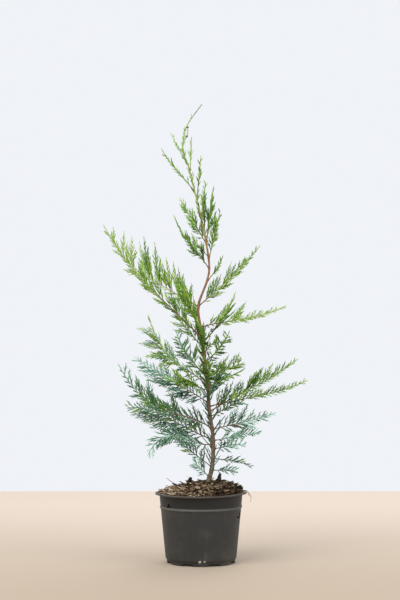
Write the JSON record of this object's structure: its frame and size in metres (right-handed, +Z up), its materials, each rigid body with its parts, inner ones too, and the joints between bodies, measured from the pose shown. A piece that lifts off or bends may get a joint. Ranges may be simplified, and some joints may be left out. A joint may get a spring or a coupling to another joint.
{
  "type": "potted leyland cypress",
  "caption": "Young conifer with a thin kinked leader, open boughs of feathery scale-leaf sprays, in a round black nursery pot of bark compost.",
  "frame": {"origin": "centre of the pot's flat underside", "axes": "+Z up along the plant, X to the right and Y away from the viewer as pictured"},
  "size_m": [0.371, 0.2745, 0.8542],
  "materials": {
    "pot_plastic": "dusty matte black",
    "compost": "loose bark and coir",
    "bark": "thin flaking bark",
    "young_bark": "smooth reddish bark",
    "foliage_lime": "scale leaves, young",
    "foliage_green": "scale leaves",
    "foliage_blue": "scale leaves, glaucous"
  },
  "bodies": {
    "root": {"bough_left_02": "young_bark", "bough_left_04": "young_bark", "bough_left_05": "young_bark", "bough_left_06": "young_bark", "bough_left_07": "young_bark", "bough_left_11": "young_bark", "bough_left_13": "young_bark", "bough_right_05": "young_bark", "bough_right_07": "young_bark", "bough_right_08": "young_bark", "bough_right_12": "young_bark", "bough_right_13": "young_bark", "foliage_back_01": "foliage_blue", "foliage_back_02": "foliage_green", "foliage_back_03": "foliage_green", "foliage_back_04": "foliage_green", "foliage_back_05": "foliage_green", "foliage_front_01": "foliage_green", "foliage_front_02": "foliage_green", "foliage_front_03": "foliage_green", "foliage_left_01": "foliage_blue", "foliage_left_02": "foliage_blue", "foliage_left_03": "foliage_blue", "foliage_left_04": "foliage_blue", "foliage_left_05": "foliage_blue", "foliage_left_06": "foliage_blue", "foliage_left_07": "foliage_lime", "foliage_left_08": "foliage_lime", "foliage_left_09": "foliage_green", "foliage_left_10": "foliage_lime", "foliage_left_11": "foliage_lime", "foliage_left_12": "foliage_green", "foliage_left_13": "foliage_green", "foliage_left_14": "foliage_green", "foliage_left_15": "foliage_green", "foliage_left_16": "foliage_green", "foliage_left_17": "foliage_green", "foliage_left_18": "foliage_lime", "foliage_right_01": "foliage_blue", "foliage_right_02": "foliage_blue", "foliage_right_03": "foliage_blue", "foliage_right_04": "foliage_blue", "foliage_right_05": "foliage_blue", "foliage_right_06": "foliage_green", "foliage_right_07": "foliage_green", "foliage_right_08": "foliage_green", "foliage_right_09": "foliage_green", "foliage_right_10": "foliage_lime", "foliage_right_11": "foliage_green", "foliage_right_12": "foliage_lime", "foliage_right_13": "foliage_green", "foliage_right_14": "foliage_green", "foliage_right_15": "foliage_green", "foliage_right_16": "foliage_green", "foliage_right_17": "foliage_green", "foliage_right_18": "foliage_green", "foliage_right_19": "foliage_lime", "pot": "pot_plastic", "soil": "compost", "trunk": "bark"}
  },
  "joints": []
}
